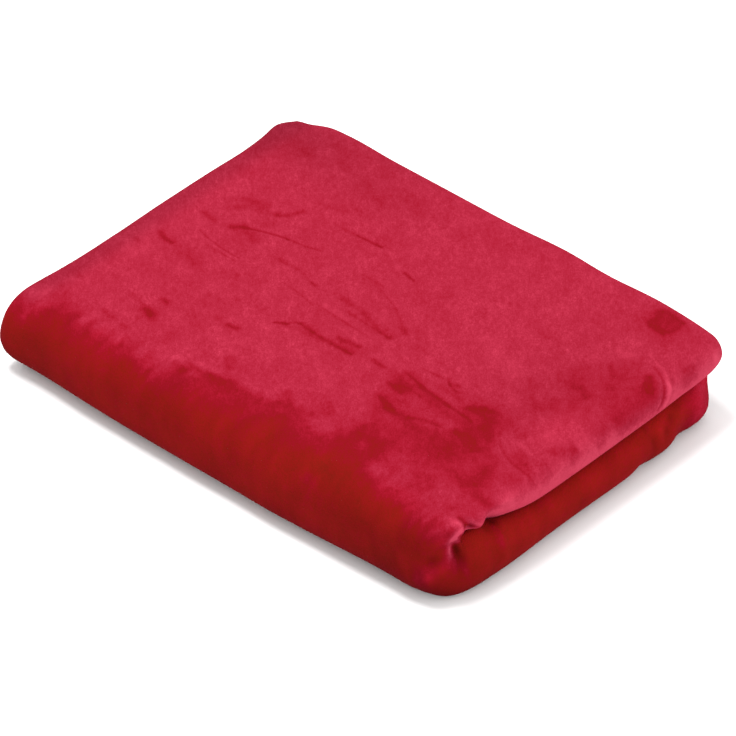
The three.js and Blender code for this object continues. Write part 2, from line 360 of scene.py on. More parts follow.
PRESSED = named("from_u from_v to_u to_v half_width pile deep", [
    (-142, -62, -134, -60, 4.5, -75, 0.3), (-141, -79, -136, -79, 2.5, -60, 0.2),
    (-80, -90, -70, -92, 2.6, -70, 0.3), (-140, -35, -136, -35, 2.5, -40, 0.1),
    (-216, -121, -211, -120, 2, -40, 0.1), (-188, -137, -150, -129, 5, -20, 0.3),
    (-198, -181, -183, -179, 2.2, -40, 0.3), (-152, -186, -142, -182, 4, -30, 0.3),
    (-160, -172, -140, -166, 5, -15, 0.1), (-184, -204, -178, -208, 3.5, -30, 0.2),
    (-165, -218, -151, -218, 2.5, -20, 0.2), (-29, -232, -26, -230, 2.5, 20, -0.3),
    (-67, -172, -61, -171, 1.6, -40, 0.2), (5, -182, 15, -175, 3, 20, -0.2),
    (28, -176, 36, -171, 2.4, -30, 0.2), (62, -166, 68, -163, 1.8, -28, 0.2),
    (118, -243, 124, -241, 4.5, -22, 0.2), (150, -192, 158, -182, 4, -25, 0.3),
    (166, -176, 180, -171, 4, -22, 0.2), (230, -250, 231, -206, 9, -62, 0.2),
    (227, -206, 228, -180, 5, -20, 0.1), (229, -190, 234, -176, 4, -30, 0.2),
    (229, -152, 233, -146, 3, -25, 0.2), (68, -129, 82, -122, 6, -60, 0.4),
    (70, -118, 84, -116, 3.2, -50, 0.3), (138, -142, 150, -141, 3, -30, 0.4),
    (135, -134, 146, -144, 2.6, -30, 0.3), (146, -143, 160, -146, 3, -35, 0.2),
    (160, -140, 170, -112, 11, -38, 0.3), (104, -141, 126, -139, 3.5, -38, 0.3),
    (90, -112, 140, -112, 4, 10, -0.3), (104, -56, 104, -34, 15, -60, 0.3),
    (35, -32, 46, -26, 6, -40, 0.1), (202, -86, 207, -68, 9, -55, 0.3),
    (184, -67, 198, -60, 5, -35, 0.2), (214, -56, 226, -54, 5.5, -35, 0.2),
    (208, -115, 216, -110, 5.5, -40, 0.2), (180, -104, 200, -99, 4, -30, 0.2),
    (176, -52, 182, -39, 4.5, -30, 0.2), (130, -84, 170, -84, 17, -40, 0.3),
    (121, -56, 123, -40, 8, -40, 0.2), (143, -126, 152, -116, 9, -30, 0.2),
    (112, -124, 126, -120, 6, -30, 0.2), (86, -124, 92, -110, 6, -25, 0.2),
    (80, -108, 84, -104, 4, -25, 0.1), (78, -91, 128, -91, 4.5, -25, 0.2),
    (90, -78, 112, -74, 9, -18, 0.1), (93, -68, 93, -56, 4.5, -25, 0.1),
    (17, -58, 26, -50, 5, -35, 0.2), (66, -138, 67, -126, 4.5, 20, -0.2),
    (58, -46, 82, -42, 8, 20, -0.2), (196, -128, 222, -121, 3, 15, -0.2),
    (221, -22, 228, -22.5, 3, 20, -0.4), (228, -22.5, 235, -19, 3, 25, -0.4),
    (235, -19, 238, -11, 3, 80, -0.4), (238, -11, 241, -2, 3.2, 90, -0.3),
    (237, 2, 237.5, 9, 2.6, 50, -0.3), (226, -26.5, 236, -27, 2, -80, 0.8),
    (235, -26, 241, -32, 2.6, -110, 0.8), (241, -34, 244, -40, 2.6, -50, 0.3),
    (241.2, 0, 240, 11, 2, -20, 1.8), (239.5, 13, 238.5, 18, 2.2, 35, 0.4),
    (248, 61, 243.5, 58, 2, 30, -0.8), (251, 236, 244, 243, 2.6, 0, 1.2),
    (244, 243, 235, 244, 3, 0, 1), (242, 254, 250, 273, 2.6, 0, 1.4), (249, 249, 243, 252, 4, 5, -1),
    (250, 318, 238, 300, 8, 25, -0.5), (77, -101, 88, -96, 3, -45, 0.4),
    (88, -96, 99, -93, 2.6, -35, 0.3), (78, -119, 84, -116, 4, -25, 0.2),
    (107, -148, 112, -151, 2.4, -40, 0.4), (112, -151, 120, -147, 2.2, -35, 0.3),
    (138, -136, 151, -139, 3.4, -35, 0.3), (163, -127, 177, -119, 5, -25, 0.2),
    (233, -33, 239, -34, 4, 25, -0.3), (213, 7, 229, 5, 3.2, 40, -0.3),
    (165, -45, 182, -30, 5, -20, 0.2), (48, -76, 58, -62, 4, -20, 0.1),
    (-74, -30, -64, -27, 4, -50, 0.2), (-62, -36, -30, -36, 4, -50, 0.2),
    (-50, -60, -38, -52, 3, -30, 0.2), (181, -319, 189, -316, 8, -42, 0.2),
    (231, -291, 235, -280, 5, -35, 0.3), (140, -280, 154, -278, 4, -18, 0.1),
    (178, -262, 192, -266, 5, 26, -0.3), (214, -268, 228, -262, 2.5, 20, -0.2),
    (204, -264, 212, -250, 6, -20, 0.1), (190, -246, 197, -239, 5, -36, 0.2),
    (174, -230, 182, -222, 7, -22, 0.1), (208, -226, 214, -218, 5, -34, 0.2),
    (187, -210, 195, -205, 6, -38, 0.2), (164, -212, 182, -204, 5, -20, 0.1),
    (181, -186, 187, -179, 5, -32, 0.2), (194, -194, 200, -183, 4, -18, 0.1),
    (208, -196, 218, -184, 4, -18, 0.1), (174, -172, 195, -148, 2, -20, 0.3),
    (176, -142, 192, -136, 5, -22, 0.1), (208, -150, 219, -143, 5, 20, -0.2),
    (128, -200, 139, -188, 6, 18, -0.2), (143, -203, 148, -195, 3, 18, -0.2),
    (98, -212, 112, -192, 12, 13, -0.1), (74, -137, 86, -132, 5, -36, 0.2),
    (94, -127, 106, -126, 5, -26, 0.2), (83, -164, 87, -161, 3, -20, 0.1),
    (142, -137, 160, -135, 4, -20, 0.1), (-202, -33, -192, -26, 4.5, -30, 0.1),
    (-136, -58, -127, -56, 4, -30, 0.1), (-137, -79, -132, -76, 3, -25, 0.1),
    (-78, -88, -75, -85, 3, -30, 0.1), (-118, -107, -114, -94, 4, -20, 0.1),
    (-68, -60, -63, -48, 3.5, -20, 0.1), (-218, -143, -214, -126, 6, 15, -0.2),
    (-210, -107, -202, -104, 5, 20, -0.1), (-204, -294, -190, -292, 7, -28, 0.2),
    (-184, -293, -172, -287, 6, -20, 0.1), (-176, -313, -160, -309, 5, -22, 0.1),
    (-156, -300, -144, -297, 4.5, -28, 0.1), (-121, -315, -114, -308, 4, -22, 0.1),
    (-117, -294, -106, -284, 6, -20, 0.1), (-99, -285, -92, -281, 4.5, -25, 0.1),
    (-82, -303, -66, -292, 6, -20, 0.1), (-66, -304, -58, -290, 6, -20, 0.1),
    (-115, -256, -104, -262, 5, -22, 0.1), (-134, -252, -124, -251, 4, -25, 0.1),
    (-101, -245, -97, -241, 3, -25, 0.1), (-214, -243, -204, -247, 5, -22, 0.1),
    (-177, -215, -168, -213, 5, -28, 0.2), (-155, -214, -144, -210, 5, -25, 0.2),
    (-158, -201, -148, -203, 4, -20, 0.1), (-152, -190, -143, -184, 7, -25, 0.2),
    (-163, -182, -156, -184, 3, -20, 0.1), (-78, -216, -70, -208, 3.5, -25, 0.1),
    (-22, -247, -14, -245, 3, -20, 0.1), (-22, -224, -18, -222, 2.5, -20, 0.1),
    (-16, -199, -12, -194, 2.5, -20, 0.1), (-41, -172, -38, -158, 3, 18, -0.1),
    (-36, -156, -12, -155, 3, 18, -0.1), (21, -138, 27, -132, 3.5, -25, 0.1),
])
SMOOTHED = named("from_u from_v to_u to_v half_width pile", [
    (-166, -68, -148, -64, 1.8, -25), (-93, -91, -89, -91, 2.5, -30),
    (-165, -38, -152, -36, 2.5, -22), (-196, -76, -182, -74, 3, -18),
    (-216, -58, -212, -56, 2.5, -20), (-120, -142, -118, -140, 1.6, -30),
    (-116, -147, -108, -147, 1.5, -25), (-78, -124, -62, -120, 3.5, -20),
    (73, -254, 76, -252, 1.7, -40), (69, -230, 71, -225, 1.8, -20), (174, -325, 196, -325, 2.6, -40),
    (229, -292, 229, -284, 4, -30), (175, -118, 182, -110, 4, -20), (106, -48, 109, -47, 4, 35),
    (110, -80, 190, -75, 50, -15), (155, -21, 190, -20, 2.5, 15), (226, -82, 232, -72, 5, 15),
    (244, -8, 244, 0, 2.6, 50), (236, -6, 237, 2, 3, 70), (225, -14, 232, -11, 5, 50),
    (236, 270, 236, 290, 4, 15), (100, -125, 135, -112, 14, -12), (132, -45, 150, -36, 12, -10),
    (196, -240, 200, -190, 18, -13), (158, -135, 162, -60, 14, -15), (140, -62, 146, -54, 10, -12),
    (227, -58, 229, -36, 8, -22), (100, -50, 120, -48, 10, -10), (150, -292, 155, -280, 16, -8),
    (28, -222, 34, -208, 14, -8), (-110, -312, -95, -306, 14, -6), (-50, -62, -38, -58, 10, -8),
    (-64, -34, -52, -30, 8, -8), (8, -102, 20, -96, 14, 8), (85, -90, 95, -82, 14, 8),
    (-205, -180, -200, -120, 18, 6), (-72, -155, -66, -145, 14, 7), (128, -104, 134, -98, 9, 8),
    (231, -3, 235, 8, 4, 30), (-48, -64, -40, -60, 2, -25), (-104, -80, -88, -72, 6, -12),
    (-108, -56, -100, -48, 5, -15), (94, -13, 104, -13, 3.5, 35), (165, -305, 195, -300, 11, -20),
    (126, -284, 134, -262, 5, -18), (158, -270, 161, -262, 3, -18), (159, -190, 164, -181, 4, -18),
    (-186, -26, -174, -24, 3, -25), (-224, -23, -212, -19, 4, 20), (-150, -22, -141, -20, 4, 30),
    (-104, -26, -94, -22, 5, 20), (-84, -17, -78, -15, 3, -20), (-104, -46, -98, -42, 3.5, -20),
    (-109, -38, -105, -36, 3, -20), (-80, -34, -73, -32, 4, 25), (75, -4, 112, -6, 4, 15),
    (200, -323, 211, -313, 3, -20), (188, -146, 202, -141, 3.5, -20), (224, -137, 230, -152, 4, -35),
    (225, -119, 233, -112, 3.5, -25), (221, -109, 230, -99, 3, -25), (162, -104, 173, -91, 2.5, -20),
    (92, -41, 112, -31, 4, -25), (72, -2, 95, -5, 2.5, -20), (231, -2, 229, 6, 3, -30),
    (228, -260, 237, -248, 4, 25), (109, -155, 117, -148, 3, 25), (158, -26, 175, -20, 2.5, 20),
    (236, -18, 237, 4, 3, 30), (-46, -118, -31, -121, 4, -25), (-22, -122, -8, -122, 4, -28),
    (-60, -39, -41, -40, 4, 30), (-86, -22, -75, -22, 3, -28), (-109, -22, -97, -21, 2, 20),
])
SPOTS = named("u v half_width pile", [
    (185, -309, 6, -25), (187, -320, 5, -20), (170, -316, 4, -20), (228, -301, 3, -20),
    (229, -267, 3, -20), (218, -234, 5, -20), (138, -151, 5, -20), (133, -117, 3.5, -20),
    (222, -90, 7, -35), (233, -54, 5, -25), (233, -35, 4, -40), (214, -31, 6, -30),
    (170, -30, 5, -30), (195, -24, 6, -25), (205, -59, 3, -20), (135, -21, 2, -20),
    (109, -6, 3, -20), (124, -317, 4, 20), (187, -259, 4, 20), (234, -320, 4, 30),
    (162, -148, 5, 28), (146, -126, 4, 20), (180, -122, 4, 25), (225, -206, 4, 18),
    (172, -246, 6, 15), (148, -111, 6, 30), (128, -99, 5, 25), (87, -94, 3, 20), (89, -71, 5, 20),
    (111, -69, 5, 28), (181, -72, 4, 20), (174, -56, 4, 25), (67, -41, 4, 20), (91, -26, 3, 20),
    (226, -20, 3, 20), (-84, -286, 5, -25), (-135, -297, 3, -20), (-167, -256, 4, -18),
    (-139, -222, 3.5, -20), (-186, -196, 3.5, -20), (-152, -176, 5, -22), (-64, -169, 4, -22),
    (-157, -269, 5, -15), (-217, -310, 5, 22), (-169, -186, 4, 20), (-197, -209, 5, 15),
    (-150, -214, 5, 15), (-129, -225, 5, 15), (-203, -22, 4, -22), (-192, -22, 3, -20),
    (-176, -19, 2.5, -20), (-122, -21, 3, -22), (-63, -27, 4, -24), (-134, -77, 4, -18),
    (-155, -126, 5, -15), (-152, -36, 4, -15), (-224, -156, 4, 20), (-181, -154, 3, 20),
    (-99, -134, 4, 20), (-144, -66, 4, 20), (-84, -69, 3.5, 20), (-214, -49, 5, 25),
    (-164, -28, 4, 20), (-127, -26, 4, 20), (-144, -20, 4, 20), (-90, -19, 2.5, 20),
    (-217, -26, 4, 25), (-214, -16, 5, 30), (-61, -39, 3, 15), (-76, -32, 5, 15), (52, -53, 7, -35),
    (-40, -52, 5, -20), (2, -61, 3, -20), (49, -76, 5, 30), (14, -63, 5, 25), (2, -43, 5, 28),
    (30, -41, 5, 30), (27, -73, 5, 20), (68, -41, 4, 20), (2, -136, 4, 25), (-51, -65, 6, 15),
    (-25, -302, 5, 15), (54, -278, 6, 15), (6, -194, 5, 14), (30, -182, 7, 14),
])
MARKS = CREASES + STROKES + PRESSED + SMOOTHED
print(len(CREASES), "creases,", len(MARKS) - len(CREASES), "pressed places and", len(SPOTS), "spots")


def off_mark(u, v, mark):
    """How far a place lies from the line down the middle of a mark."""
    along = np.array([mark["to_u"] - mark["from_u"], mark["to_v"] - mark["from_v"]])
    length = math.hypot(*along)
    way = along / length
    past_u, past_v = u - mark["from_u"], v - mark["from_v"]
    ahead = past_u * way[0] + past_v * way[1]
    aside = past_v * way[0] - past_u * way[1]
    share = np.clip(ahead / length, 0, 1)
    return np.hypot(ahead - share * length, aside - mark.get("bow", 0) * 4 * share * (1 - share))


# %% [markdown]
# ## The pile's thickness
# Only the outer skin of the pack shows its pile: the top, the front fold and the two ends. There the
# outer face stands a little further out than the solid. Low random hills keep it uneven, and every
# mark is a soft trough or ridge that is wider than its dark line.

# %% Set how the pile stands over the skin
HILLS = named("cell high seed", [(95, 0.9, 3), (42, 0.45, 5), (19, 0.16, 8)])
SPARE_CELLS = 3              # past the far edges of the sheet
LOFT, LEAST_LOFT = 1.4, -1.2
TROUGH_MORE = 1.6            # how much further out than its pressed line a trough's side reaches
# The loft fades by height at the foot, by shares of the bends at the two ends, and by millimetres
# of cloth at the two long folds of the back.
LOFT_FADES = {"foot": (6, 22), "left": 0.6, "right": (0.6, 0.85), "back": (-4, 12), "low_back": 12}


def hills(u, v, layers):
    """Smooth random hills, about one to each cell of the cloth, summed over the layers."""
    total = 0
    for layer in layers:
        cell = layer["cell"]
        columns, rows = (int(SHEET[side] / cell) + SPARE_CELLS for side in ("wide", "long"))
        heights = np.random.default_rng(layer["seed"]).uniform(-1, 1, (columns, rows))
        a = (u + SHEET["wide"] / 2) / cell
        b = (v + SHEET["long"] / 2) / cell
        i = np.clip(a.astype(int), 0, columns - 2)
        j = np.clip(b.astype(int), 0, rows - 2)
        s, t = smooth(a - i, 0, 1), smooth(b - j, 0, 1)
        near = mix(heights[i, j], heights[i + 1, j], s)
        far = mix(heights[i, j + 1], heights[i + 1, j + 1], s)
        total = total + layer["high"] * mix(near, far, t)
    return total


def loft(u, v):
    """How far the outer face stands out at a place of the flat sheet."""
    x, y, z = folded(u, v, 0 * u)
    left_end = (LEFT - u) / left_bend.length
    right_end = (u - RIGHT) / right_bend.length
    shows = smooth(z, *LOFT_FADES["foot"]) * (1 - smooth(left_end, 0, LOFT_FADES["left"]))
    shows = shows * (1 - smooth(right_end, *LOFT_FADES["right"]))
    shows = shows * smooth(v - BACK, *LOFT_FADES["back"])
    shows = shows * smooth(LOW_BACK - v, 0, LOFT_FADES["low_back"])
    stands = LOFT + hills(u, v, HILLS)
    for mark in MARKS:
        off = off_mark(u, v, mark) / (mark["half_width"] + TROUGH_MORE)
        stands = stands - mark.get("deep", 0) * np.exp(-off * off)
    return np.maximum(stands, LEAST_LOFT) * shows


print("hills of", [hill["cell"] for hill in HILLS], "mm on a loft of", LOFT, "mm")

# %% [markdown]
# ## The mesh
# The sheet is a closed mesh: an outer face, an inner face and a rounded edge round them. Most of the
# cloth lies hidden in the pack and gets a coarse grid. The skin that shows fills a window in that
# grid, and a ring of triangles joins the two. The skin's own cells are halved again and again where
# there is something small to show, such as a crease, so that few are wasted on smooth cloth.

# %% Lay out the lines of the coarse grid
COARSE = {
    "across": [0, 0.03, 0.07, 0.12, 0.2, 0.32, 0.44, 0.56, 0.68, 0.78, 0.86, 0.92, 0.965, 1],
    "back_to_front": [0, 0.035, 0.08, 0.14, 0.22, 0.34, 0.47, 0.6, 0.72, 0.82, 0.9, 0.95, 0.98, 1],
    "steps": {"inner": 4, "outer": 6, "left": 8, "right": 12, "front": 16},
}


def grid_lines(first, last, flap, middle):
    """Lines from edge to edge: flap, bend, middle, bend, flap. A flap's lines lie over the middle's."""
    start, bend, steps, past = first
    end, end_bend, end_steps, end_past = last
    inner = np.array(flap[1:-1])
    lines = [2 * start - bend.length - (end + past)]
    lines += list((2 * start - bend.length - inner)[::-1])
    lines += list(start - bend.length + bend.length * np.arange(steps) / steps)
    begin = len(lines)
    lines += list(middle)
    finish = len(lines) - 1
    lines += list(end + end_bend.length * np.arange(1, end_steps + 1) / end_steps)
    lines += list((2 * end + end_bend.length - inner)[::-1])
    lines += [2 * end + end_bend.length - (start - end_past)]
    return np.array(lines), begin - steps, finish + end_steps


steps = COARSE["steps"]
across_middle = [mix(LEFT, RIGHT, share) for share in COARSE["across"]]
coarse_u, u_from, u_to = grid_lines(
    (LEFT, left_bend, steps["left"], -TUCKED), (RIGHT, right_bend, steps["right"], OVER["wide"]),
    across_middle, across_middle)
along_middle = [mix(BACK, -FRONT, share) for share in COARSE["back_to_front"]]
along_middle += list(np.linspace(-FRONT, FRONT, steps["front"] + 1)[1:-1])
along_middle += [mix(LOW_BACK, FRONT, share) for share in reversed(COARSE["back_to_front"])]
coarse_v, v_from, v_to = grid_lines(
    (BACK, outer_bend, steps["outer"], OVER["long"]), (LOW_BACK, inner_bend, steps["inner"], -TUCKED),
    along_middle, along_middle)
print("coarse grid", len(coarse_u), "x", len(coarse_v))

# %% Say how fine the skin's cells have to be
RING = 2                     # the skin's edge lies this far inside its window
CELL = 8
HALVINGS = 4
PLAIN_CELL, HIDDEN_CELL, CREASE_CELL = 2.1, 8, 1.1
CELL_GROWTH = 0.35           # how fast cells may grow away from something small
END_MARGIN = 8               # the right end's cells start this far before its bend
CRINKLED = named("u v half_wide half_long cell", [(231, -30, 15, 34, 0.75), (236, 38, 20, 36, 1.1)])


def cell_wanted(u, v):
    """The largest cell that still shows what is at a place of the sheet."""
    under = v - FRONT
    before_end = RIGHT - END_MARGIN - u
    wanted = PLAIN_CELL + CELL_GROWTH * np.clip(np.minimum(under, before_end), 0, None)
    wanted = np.minimum(wanted, HIDDEN_CELL)
    for mark in CREASES:
        off = off_mark(u, v, mark) - mark["half_width"] - TROUGH_MORE / 2
        wanted = np.minimum(wanted, CREASE_CELL + CELL_GROWTH * np.maximum(off, 0))
    for area in CRINKLED:
        beside = np.maximum(np.abs(u - area["u"]) - area["half_wide"], 0)
        before = np.maximum(np.abs(v - area["v"]) - area["half_long"], 0)
        wanted = np.minimum(wanted, area["cell"] + CELL_GROWTH * np.hypot(beside, before))
    return wanted


skin_from = (LEFT - left_bend.length - RING, BACK - outer_bend.length - RING)
skin_to = (RIGHT + right_bend.length + RING, LOW_BACK + inner_bend.length + RING)
columns, rows = (round((last - first) / CELL) for first, last in zip(skin_from, skin_to))
finest = 2 ** HALVINGS
line_u = np.linspace(skin_from[0], skin_to[0], columns * finest + 1)
line_v = np.linspace(skin_from[1], skin_to[1], rows * finest + 1)
print(columns, "x", rows, "cells before any is halved")

# %% Halve the cells
cells = []                   # rows of (column, row, size), counted in the finest cells
corners = np.stack(np.meshgrid(np.arange(columns), np.arange(rows), indexing="ij"), -1)
corners = corners.reshape(-1, 2) * finest
size = finest
while len(corners):
    middle_u = line_u[corners[:, 0]] + size / 2 * (line_u[1] - line_u[0])
    middle_v = line_v[corners[:, 1]] + size / 2 * (line_v[1] - line_v[0])
    large = (CELL * size / finest > cell_wanted(middle_u, middle_v)) & (size > 1)
    cells.append(np.column_stack([corners[~large], np.full((~large).sum(), size)]))
    size //= 2
    corners = np.concatenate([corners[large] + (i, j) for i in (0, size) for j in (0, size)])
cells = np.concatenate(cells)
print("skin of", len(cells), "cells, of which", int((cells[:, 2] == 1).sum()), "are the finest")

# %% Build the mesh of the sheet
EDGE_ROUND = 0.9             # how far the rounded edge stands out

places = []                  # blocks of vertices, each a row of (u, v, w) on the flat sheet
faces = []


def add_places(u, v, w):
    """Adds vertices on the flat sheet. Returns their numbers, in the shape of u."""
    start = sum(len(block) for block in places)
    u, v, w = np.broadcast_arrays(u, v, w)
    places.append(np.stack([u, v, w], -1).reshape(-1, 3).astype(float))
    return start + np.arange(u.size).reshape(u.shape)


def add_grid(lines_u, lines_v, w):
    return add_places(*np.meshgrid(lines_u, lines_v, indexing="ij"), w)


def add_cells(grid, facing_out, keep=None):
    """The faces between the lines of a grid, or those of them to keep."""
    a, b, c, d = grid[:-1, :-1], grid[:-1, 1:], grid[1:, 1:], grid[1:, :-1]
    quads = np.stack([a, b, c, d] if facing_out else [a, d, c, b], -1)
    quads = quads.reshape(-1, 4) if keep is None else quads[keep]
    faces.extend(quads.tolist())


def add_skin(cells):
    """The skin's vertices and faces. A cell beside smaller ones becomes a fan round its middle."""
    corner = np.zeros((len(line_u), len(line_v)), bool)
    i, j, size = cells.T
    for a in (i, i + size):
        for b in (j, j + size):
            corner[a, b] = True
    grid = np.full(corner.shape, -1)
    at_u, at_v = np.nonzero(corner)
    grid[at_u, at_v] = add_places(line_u[at_u], line_v[at_v], 0)
    for i, j, size in cells.tolist():
        edge = [
            grid[i, j:j + size],
            grid[i:i + size, j + size],
            grid[i + size, j + size:j:-1],
            grid[i + size:i:-1, j],
        ]
        border = np.concatenate(edge)
        border = border[border >= 0].tolist()
        if len(border) == 4:
            faces.append(border)
            continue
        middle = add_places((line_u[i] + line_u[i + size]) / 2, (line_v[j] + line_v[j + size]) / 2, 0)
        faces.extend([int(middle), a, b] for a, b in zip(border, border[1:] + border[:1]))
    return grid


def sides(table, u0, u1, v0, v1):
    """The four sides of a block of a grid, each one walked from corner to corner, right round it."""
    return [
        table[u0:u1 + 1, v0],
        table[u1, v0:v1 + 1],
        table[u0:u1 + 1, v1][::-1],
        table[u0, v0:v1 + 1][::-1],
    ]


def join(hole, hole_at, patch, patch_at):
    """Triangles between two lines of vertices that run alongside each other."""
    i, j = 0, 0
    while i + 1 < len(hole) or j + 1 < len(patch):
        if j + 1 == len(patch) or (i + 1 < len(hole) and hole_at[i + 1] <= patch_at[j + 1]):
            faces.append([hole[i + 1], hole[i], patch[j]])
            i += 1
        else:
            faces.append([patch[j], patch[j + 1], hole[i]])
            j += 1


def loop(table, block):
    """The whole border of a block, with no vertex twice."""
    return np.concatenate([line[:-1] for line in sides(table, *block)])


outer = add_grid(coarse_u, coarse_v, 0)
inner = add_grid(coarse_u, coarse_v, SHEET["thick"])
window = (u_from - 1, u_to + 1, v_from - 1, v_to + 1)
around = np.ones((len(coarse_u) - 1, len(coarse_v) - 1), bool)
around[window[0]:window[1], window[2]:window[3]] = False
add_cells(outer, True, around)
add_cells(inner, False)
first_of_skin = sum(len(block) for block in places)
skin = add_skin(cells)
last_of_skin = sum(len(block) for block in places)

whole = (0, len(coarse_u) - 1, 0, len(coarse_v) - 1)
patch = (0, len(line_u) - 1, 0, len(line_v) - 1)
coarse_at = np.meshgrid(coarse_u, coarse_v, indexing="ij")
skin_at = np.meshgrid(line_u, line_v, indexing="ij")
for side in range(4):
    axis, way = side % 2, 1 if side < 2 else -1
    skin_line = sides(skin, *patch)[side]
    kept = skin_line >= 0
    join(sides(outer, *window)[side], way * sides(coarse_at[axis], *window)[side],
         skin_line[kept], way * sides(skin_at[axis], *patch)[side][kept])

# The cloth's edge has a line of vertices half way through the sheet, a little further out.
edge_u = loop(coarse_at[0], whole) * (1 + 2 * EDGE_ROUND / SHEET["wide"])
edge_v = loop(coarse_at[1], whole) * (1 + 2 * EDGE_ROUND / SHEET["long"])
rims = [loop(outer, whole), add_places(edge_u, edge_v, SHEET["thick"] / 2), loop(inner, whole)]
for near, far in zip(rims, rims[1:]):
    faces.extend(np.stack([near, np.roll(near, -1), np.roll(far, -1), far], -1).tolist())
print(len(faces), "faces, on", len(outer), "x", len(outer[0]), "lines and the skin")

# %% [markdown]
# ## Tucks
# On top of the smooth settling, the real pack has small corners, dents and bulges that the solid
# leaves out. Each tuck is a soft push round one place of the pack, in millimetres. Like the settling
# it moves all the layers there together.

# %% List the tucks
TUCKS = named("name at reach by", [
    ("left tip", (-232, -168, 26), (18, 20, 13), (-5, -4, 0)),
    ("left side, front", (-234, -88, 60), (20, 30, 22), (2, 0, 0)),
    ("left side, back", (-234, 108, 60), (20, 28, 22), (2.4, 0, 0)),
    ("back left corner", (-240, 158, 58), (12, 12, 22), (-3, 1.5, 0)),
    ("that corner's tip", (-238, 166, 62), (7, 8, 12), (-1.5, 1, 1)),
    ("left of that tip", (-223, 144, 68), (8, 7, 9), (-2.2, 1.6, 1.3)),
    ("beside that corner", (-212, 172, 60), (9, 12, 22), (0, -4.6, 0)),
    ("back, left", (-165, 168, 60), (20, 20, 22), (0, 2, 0)),
    ("back, middle", (60, 172, 60), (28, 20, 22), (0, 3.4, 0.8)),
    ("back, right", (155, 172, 60), (32, 20, 22), (0, 3.6, 1)),
    ("back right corner", (222, 160, 58), (18, 18, 20), (2.6, 0.2, 0)),
    ("front, left", (-90, -176, 14), (60, 20, 24), (0, -1.6, 0)),
    ("front, middle", (70, -176, 14), (45, 20, 24), (0, -2.4, 0)),
    ("front foot, right", (208, -172, 12), (22, 20, 20), (1, -3, 0)),
    ("foot of that corner", (238, -158, 10), (14, 16, 18), (-2.2, 0, 0)),
    ("right foot", (238, 50, 14), (20, 35, 18), (2, 0, 0)),
    ("right foot, front", (240, -95, 8), (16, 25, 16), (1.4, 0, 0)),
    ("first dent in the right foot", (238, 65, 5), (12, 7, 9), (-2.2, 0, 0.6)),
    ("bulge between the dents", (238, 92, 8), (12, 9, 12), (1.6, 0, 0)),
    ("second dent in the right foot", (240, 118, 12), (14, 8, 14), (-4.2, 0, 0)),
    ("bulge of the right foot", (240, 144, 20), (14, 12, 12), (4, 1.6, 0)),
    ("back of the groove", (236, 155, 35), (13, 14, 9), (-6, -1.5, 0)),
    ("front right set back", (240, -138, 52), (20, 22, 15), (-8, 0, 3)),
])
CRINKLE = named("name at reach by", [
    ("tongue", (227, -144, 60), (5.5, 5, 7), (0.8, -1.6, 0)),
    ("tongue, top", (220, -143, 71), (5, 5, 4), (0, 0, 1.4)),
    ("crease on top", (225, -135, 69), (4.5, 3, 4), (-1, 0, -2.8)),
    ("crease at the side", (229, -132, 61), (4.5, 3.4, 6), (-5.4, 0.4, 0)),
    ("lobe", (231, -126, 60), (5, 4.5, 5), (2.4, 0, -1.5)),
    ("rim over the pit", (231, -112, 58), (5, 4.5, 5), (-2.4, 0, 3.6)),
    ("rim behind the pit", (234, -92, 57), (7, 14, 8), (-1, 0, 3.4)),
    ("pit", (224, -107, 50), (6, 5, 5), (-5, 0, -2)),
    ("ridge under the pit", (233, -103, 36), (6, 3, 9), (1.8, 0, 0.4)),
    ("furrow beside it", (233, -112, 34), (6, 4, 11), (-1.6, 0, 0)),
    ("corner crease, top", (225, -148, 48), (5, 3.5, 6), (-4, 1.5, 0)),
    ("corner crease, foot", (226, -145, 38), (4.5, 3, 8), (-3.2, 1, 0)),
    ("fold beside the crease", (224, -152, 42), (5, 4, 8), (0.8, -1.2, 0)),
    ("dent in the front", (216, -165, 42), (4, 4, 3.5), (-2, 1.8, 0)),
    ("fold under it", (217, -167, 34), (6, 6, 4.5), (1, -1.2, 0.5)),
])
print(len(TUCKS), "tucks, and", len(CRINKLE), "pushes for the crinkle at the front right")

# %% Fold the flat sheet into the pack
flat = np.concatenate(places)
used = np.zeros(len(flat), bool)
used[np.concatenate([np.array(face) for face in faces])] = True
number = np.cumsum(used) - 1
faces = [[int(number[corner]) for corner in face] for face in faces]
in_skin = np.zeros(len(flat), bool)
in_skin[first_of_skin:last_of_skin] = True
flat, in_skin = flat[used], in_skin[used]

u, v, w = flat.T
plain = settled(*folded(u, v, w))
centre = (plain.min(0) + plain.max(0)) / 2 * (1, 1, 0)
stands = np.where(in_skin, loft(u, v), 0)
in_pack = settled(*folded(u, v, w - stands)) - centre
positions = pushed(pushed(in_pack, TUCKS), CRINKLE)
positions[:, 2] = np.maximum(positions[:, 2], 0)
positions = positions * MM

mesh = bpy.data.meshes.new("folded_throw")
mesh.from_pydata(positions.tolist(), [], faces)
mesh.shade_smooth()
throw = bpy.data.objects.new("folded_throw", mesh)
bpy.context.scene.collection.objects.link(throw)
triangles = sum(len(face) - 2 for face in faces)
print(len(flat), "vertices,", triangles, "triangles, moved by", centre.round(2), "mm")
